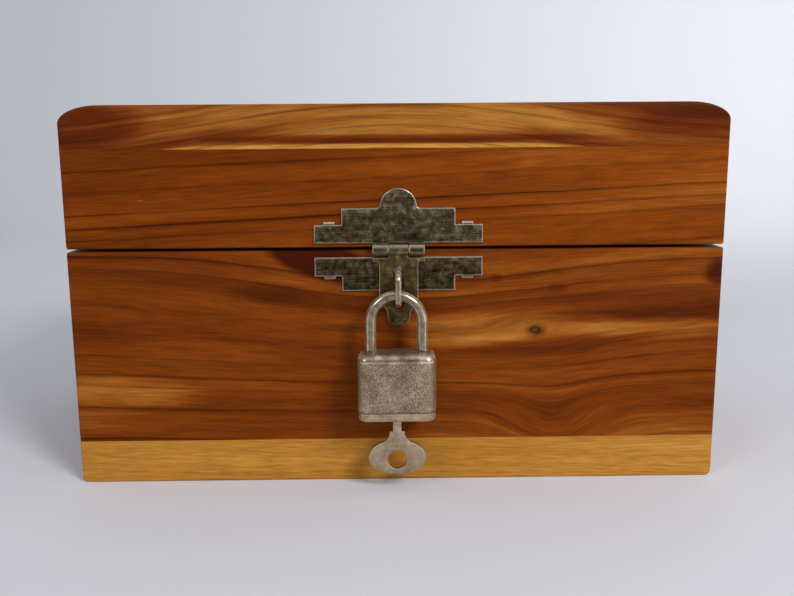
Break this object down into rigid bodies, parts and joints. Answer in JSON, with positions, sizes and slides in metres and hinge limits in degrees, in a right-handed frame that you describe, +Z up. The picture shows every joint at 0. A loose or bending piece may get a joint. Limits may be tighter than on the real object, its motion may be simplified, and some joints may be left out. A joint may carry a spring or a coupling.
{
  "type": "wooden money box",
  "caption": "Cedar money box with a hinged lid, coin slot, stepped metal hasp and a small keyed padlock hanging on its staple.",
  "frame": {"origin": "middle of the bottom board's underside", "axes": "+X along the width to the viewer's right, -Y out of the front with the hasp, +Z up"},
  "size_m": [0.2032, 0.1432, 0.1189],
  "materials": {
    "sapwood_board": "pale cedar sapwood, satin varnish",
    "cedar_base": "red-brown cedar heartwood, satin varnish",
    "cedar_lid": "red-brown cedar heartwood, satin varnish",
    "cedar_top": "cedar with honey-coloured figure, satin varnish",
    "tarnished_nickel": "stamped, nickel plated and tarnished",
    "flap_nickel": "stamped, nickel plated, worn to an olive tint",
    "bright_nickel": "drawn wire, nickel plated",
    "hinge_steel": "rolled sheet, nickel plated",
    "screw_steel": "turned steel, plated",
    "pebbled_nickel": "drawn case with a fine pebbled face",
    "polished_nickel": "polished nickel plate",
    "lock_brass": "machined",
    "spring_steel": "hard-drawn wire",
    "key_steel": "stamped flat steel, satin"
  },
  "bodies": {
    "base": {"bottom_board": "sapwood_board", "front_board": "cedar_base", "back_board": "cedar_base", "left_side_board": "cedar_base", "right_side_board": "cedar_base", "hasp_lower_plate": "tarnished_nickel", "hasp_staple": "bright_nickel", "left_hinge_base_leaf": "hinge_steel", "right_hinge_base_leaf": "hinge_steel", "left_hinge_pin": "hinge_steel", "right_hinge_pin": "hinge_steel", "base_hinge_screws": "screw_steel"},
    "lid": {"lid_top_board": "cedar_top", "lid_front_board": "cedar_lid", "lid_back_board": "cedar_lid", "lid_left_board": "cedar_lid", "lid_right_board": "cedar_lid", "hasp_upper_plate": "tarnished_nickel", "hasp_pin": "bright_nickel", "left_hinge_lid_leaf": "hinge_steel", "right_hinge_lid_leaf": "hinge_steel", "lid_hinge_screws": "screw_steel"},
    "flap": {"hasp_flap": "flap_nickel"},
    "padlock": {"padlock_case": "pebbled_nickel", "padlock_bottom_plate": "polished_nickel", "padlock_lock_block": "lock_brass", "shackle_spring": "spring_steel", "bolt_spring": "spring_steel", "shackle_stop_pin": "lock_brass"},
    "shackle": {"shackle": "bright_nickel"},
    "bolt": {"locking_bolt": "lock_brass"},
    "key": {"keyway_plug": "lock_brass", "key": "key_steel"}
  },
  "joints": [
    {"name": "lid_hinge", "type": "hinge", "parent": "base", "child": "lid", "pos_m": [0, 0.06315, 0.07505], "axis": [-1, 0, 0], "range_deg": [0, 100]},
    {"name": "flap_hinge", "type": "hinge", "parent": "lid", "child": "flap", "pos_m": [0.00065, -0.06563, 0.07505], "axis": [-1, 0, 0], "range_deg": [0, 170]},
    {"name": "padlock_swing", "type": "hinge", "parent": "base", "child": "padlock", "pos_m": [-0.00025, -0.0729, 0.06187], "axis": [-1, 0, 0], "range_deg": [0, 90]},
    {"name": "key_turn", "type": "hinge", "parent": "padlock", "child": "key", "pos_m": [-0.00025, -0.0729, 0.02374], "axis": [0, 0, 1], "range_deg": [0, 90]},
    {"name": "shackle_release", "type": "slide", "parent": "padlock", "child": "shackle", "axis": [0, 0, 1], "range_m": [0, 0.0041], "deforming": ["shackle_spring"]},
    {"name": "bolt_slide", "type": "slide", "parent": "padlock", "child": "bolt", "axis": [-1, 0, 0], "range_m": [0, 0.004], "deforming": ["bolt_spring"]}
  ],
  "couplings": [
    {"joint": "flap_hinge", "follows": "lid_hinge", "ratio": 1.7},
    {"joint": "shackle_release", "follows": "key_turn", "m_per_rad": 0.0026101},
    {"joint": "bolt_slide", "follows": "key_turn", "m_per_rad": 0.0025465}
  ]
}
